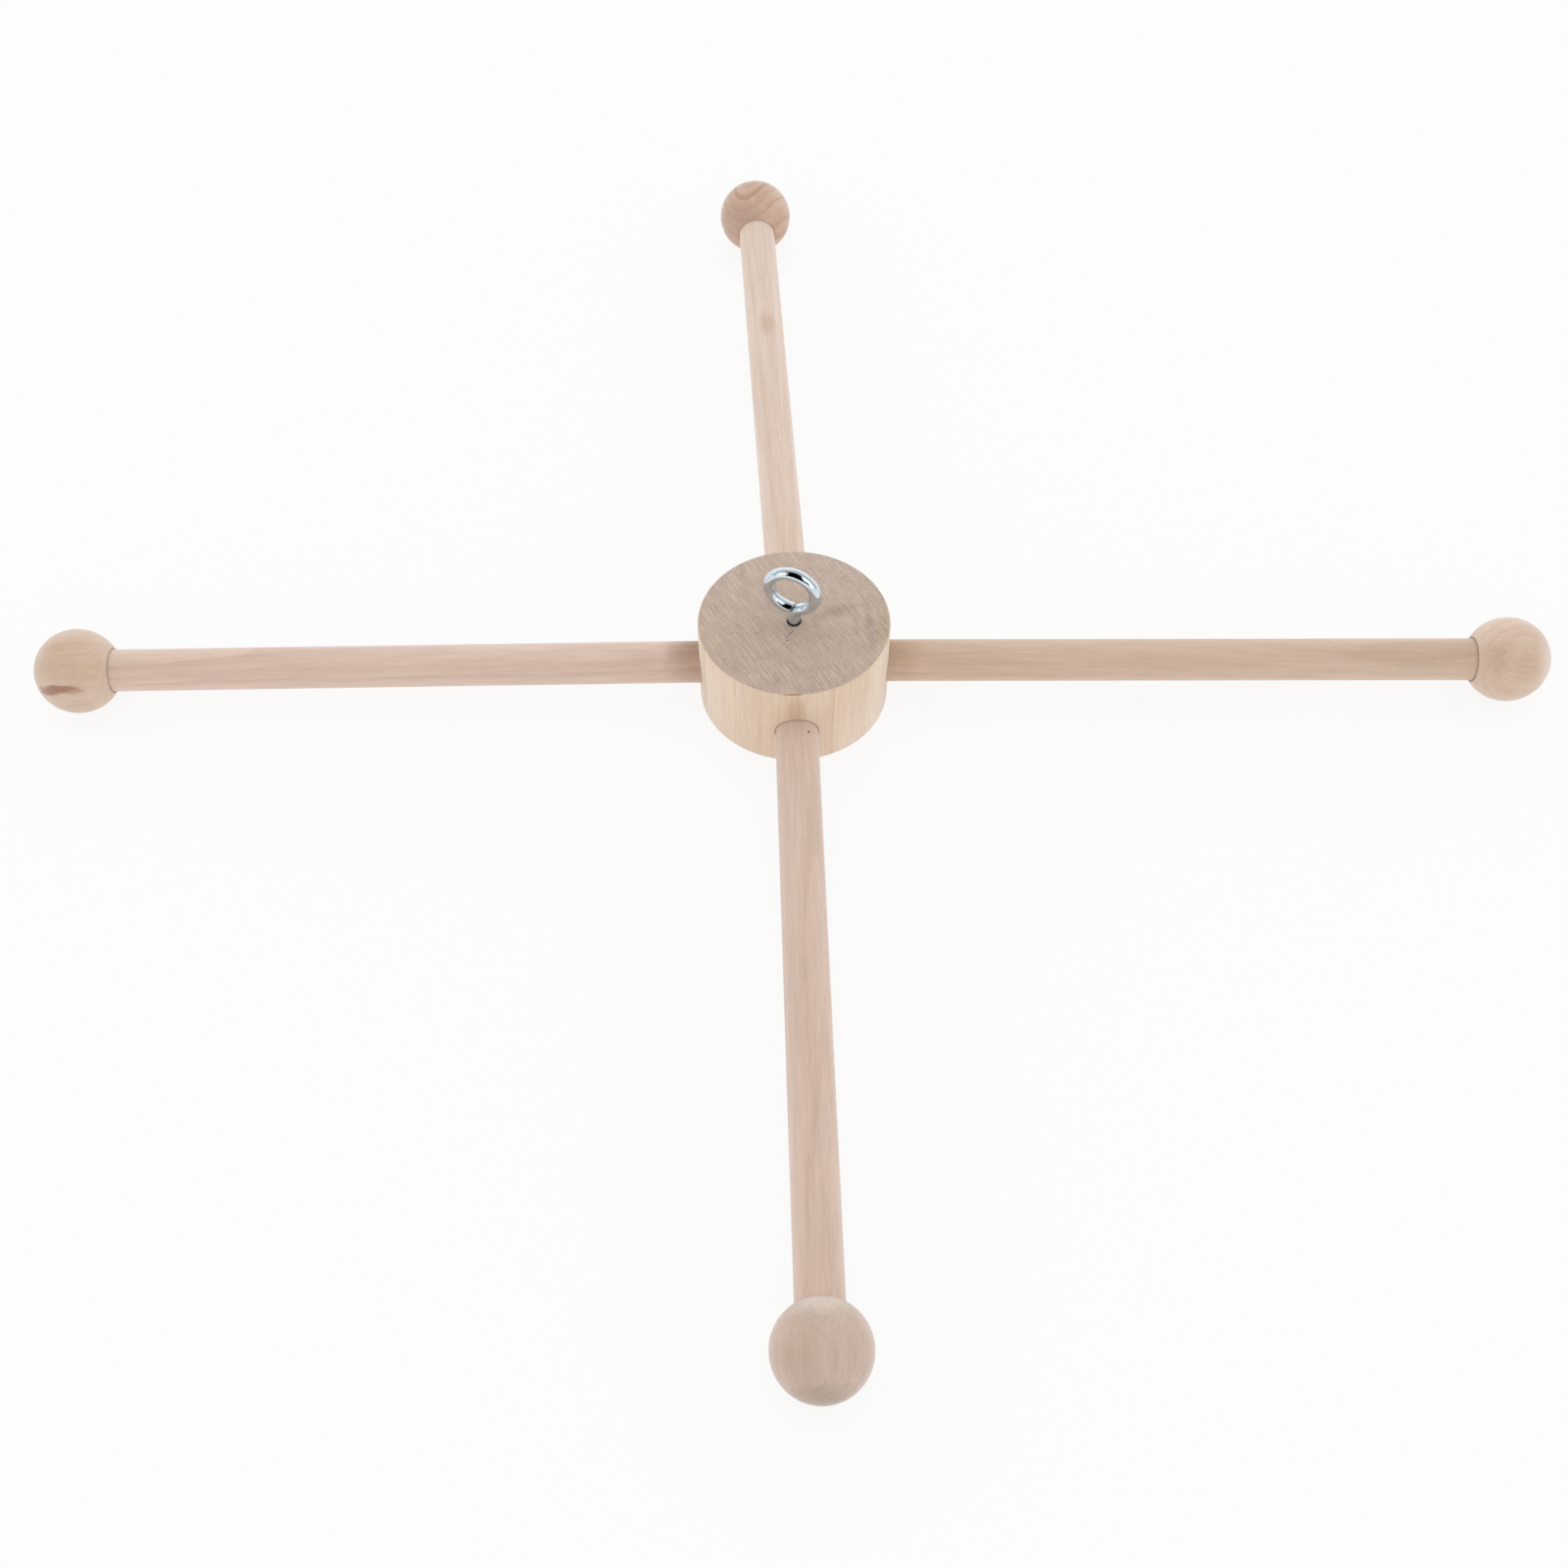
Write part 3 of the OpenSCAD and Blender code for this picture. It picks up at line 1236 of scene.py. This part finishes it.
DOWEL_WOODS = {
    ArmSide.RIGHT: Wood(
        name="right_dowel_wood",
        pale=srgb(214, 186, 165),
        warm=srgb(208, 180, 155),
        late=srgb(190, 155, 128),
        end=srgb(190, 160, 138),
        pith_mm=(0.0, 9.0, -14.0),
        fibre=(0.0, 1.0, -0.5),
        # Painted shade: the dowel darkened next to the hub, where the hub shades it.
        marks=(Mark((24.0, 0.0, 12.0), (9.0, 9.0, 9.0), srgb(186, 156, 132), 0.8, soft=0.9),),
    ),
    ArmSide.BACK: Wood(
        name="back_dowel_wood",
        pale=srgb(228, 206, 190),
        warm=srgb(221, 196, 178),
        late=srgb(200, 166, 140),
        end=srgb(196, 168, 148),
        pith_mm=(0.0, -2.0, 22.0),
        fibre=(0.0, 1.5, 0.0),
        marks=(Mark((116.7, -0.5, 15.0), (7.0, 3.2, 3.0), srgb(200, 166, 142), 0.6, soft=0.8),),
    ),
    ArmSide.LEFT: Wood(
        name="left_dowel_wood",
        pale=srgb(225, 199, 183),
        warm=srgb(217, 189, 172),
        late=srgb(193, 158, 138),
        end=srgb(190, 160, 142),
        pith_mm=(0.0, 6.0, -16.0),
        fibre=(0.0, 0.8, 0.4),
        # Painted shade: the dowel darkened next to the hub, where the hub shades it.
        marks=(Mark((24.0, 0.0, 12.0), (9.0, 9.0, 9.0), srgb(164, 133, 110), 0.95, soft=0.9),),
    ),
    ArmSide.FRONT: Wood(
        name="front_dowel_wood",
        pale=srgb(216, 190, 173),
        warm=srgb(209, 183, 166),
        late=srgb(184, 148, 126),
        end=srgb(190, 160, 142),
        pith_mm=(0.0, -9.0, -8.0),
        fibre=(0.0, 0.6, -1.0),
        rings=0.5,
        marks=(Mark((25.3, 2.6, 14.2), (0.5, 0.35, 0.6), srgb(96, 62, 48), 0.9, soft=0.5),),
    ),
}

BALL_WOODS = {
    ArmSide.RIGHT: Wood(
        name="right_ball_wood",
        pale=srgb(222, 196, 176),
        warm=srgb(213, 182, 157),
        late=srgb(180, 146, 122),
        end=srgb(216, 192, 172),
        pith_mm=(170.0, 30.0, -10.0),
        fibre=(0.0, 8.0, 6.0),
        marks=(
            # Painted light: the ball's outer rim lifted paler, standing in for the bright surround lighting
            # its edge.
            Mark((180.0, -5.0, 13.5), (7.0, 9.0, 9.5), srgb(230, 211, 196), 0.8, soft=0.8),
            Mark((164.5, -5.0, 17.0), (5.5, 7.0, 6.0), srgb(196, 165, 141), 0.6, soft=0.9),
            Mark((161.3, 0.0, 10.0), (0.55, 9.0, 9.0), srgb(112, 84, 62), 0.9, soft=0.4, ragged=0.05),
        ),
    ),
    ArmSide.BACK: Wood(
        name="back_ball_wood",
        pale=srgb(217, 185, 163),
        warm=srgb(196, 158, 134),
        late=srgb(160, 120, 96),
        end=srgb(180, 148, 130),
        pith_mm=(166.0, 6.0, 26.0),
        fibre=(0.0, 20.0, -30.0),
        ring_mm=2.4,
        rings=0.8,
    ),
    ArmSide.LEFT: Wood(
        name="left_ball_wood",
        pale=srgb(218, 192, 172),
        warm=srgb(208, 177, 150),
        late=srgb(184, 146, 118),
        end=srgb(208, 186, 168),
        pith_mm=(170.0, 30.0, 4.0),
        fibre=(0.0, -4.0, 8.0),
        rings=0.15,
        marks=(
            Mark((172.5, 1.0, 19.0), (4.0, 4.0, 4.0), srgb(208, 174, 140), 0.5, soft=0.9),
            Mark((172.9, 8.5, 13.0), (7.6, 7.0, 1.4), srgb(158, 110, 84), 0.85, (52.8, 0.0, 0.0), ragged=0.5),
            Mark((161.3, 0.0, 10.0), (0.55, 9.0, 9.0), srgb(130, 100, 80), 0.7, soft=0.4, ragged=0.05),
        ),
    ),
    ArmSide.FRONT: Wood(
        name="front_ball_wood",
        pale=srgb(208, 184, 168),
        warm=srgb(198, 172, 154),
        late=srgb(176, 146, 126),
        end=srgb(172, 152, 132),
        pith_mm=(170.0, 10.0, -8.0),
        fibre=(0.0, 30.0, 0.0),
        marks=(
            Mark((179.0, 0.0, 11.0), (5.5, 8.0, 5.5), srgb(170, 148, 126), 0.8, soft=0.8),
            Mark((163.0, 0.0, 18.0), (6.0, 8.0, 5.0), srgb(222, 206, 192), 0.7, soft=0.8),
        ),
    ),
}


def main() -> None:
    """Builds the frame, dresses it and sets up the studio."""
    logging.basicConfig(level=logging.INFO, format="%(name)s: %(message)s")

    bpy.context.scene.view_settings.view_transform = "Standard"
    studio = Studio()
    studio.camera()
    studio.floor()
    studio.light()

    _, hub_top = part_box("hub")
    eye_low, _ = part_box("screw_eye")
    dowel_low, dowel_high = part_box("right_dowel")
    ball_low, ball_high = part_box("right_ball")
    arm_radius = (dowel_high.z - dowel_low.z) / 2
    arm_height = (dowel_high.z + dowel_low.z) / 2
    ball_radius = (ball_high.z - ball_low.z) / 2
    reach = (ball_high.x - ball_radius) / math.cos(ArmSide.RIGHT.turn)
    eye = ScrewEye(finish=PlatedSteel(), face_height=hub_top.z, tip_height=eye_low.z)
    hub = HubBlock(
        finish=HUB_WOOD,
        radius=hub_top.x,
        height=hub_top.z,
        arm_height=arm_height,
        arm_radius=arm_radius,
        shank_radius=eye.wire,
        shank_depth=hub_top.z - eye_low.z,
    )
    hub.build()
    eye.build()
    for side in ArmSide:
        arm = Arm(
            side=side,
            dowel_finish=DOWEL_WOODS[side],
            ball_finish=BALL_WOODS[side],
            start=hub.socket_floor + hub.end_gap,
            radius=arm_radius,
            height=arm_height,
            reach=reach,
            ball_radius=ball_radius,
        )
        arm.dowel()
        arm.ball()


if __name__ == "__main__":
    main()
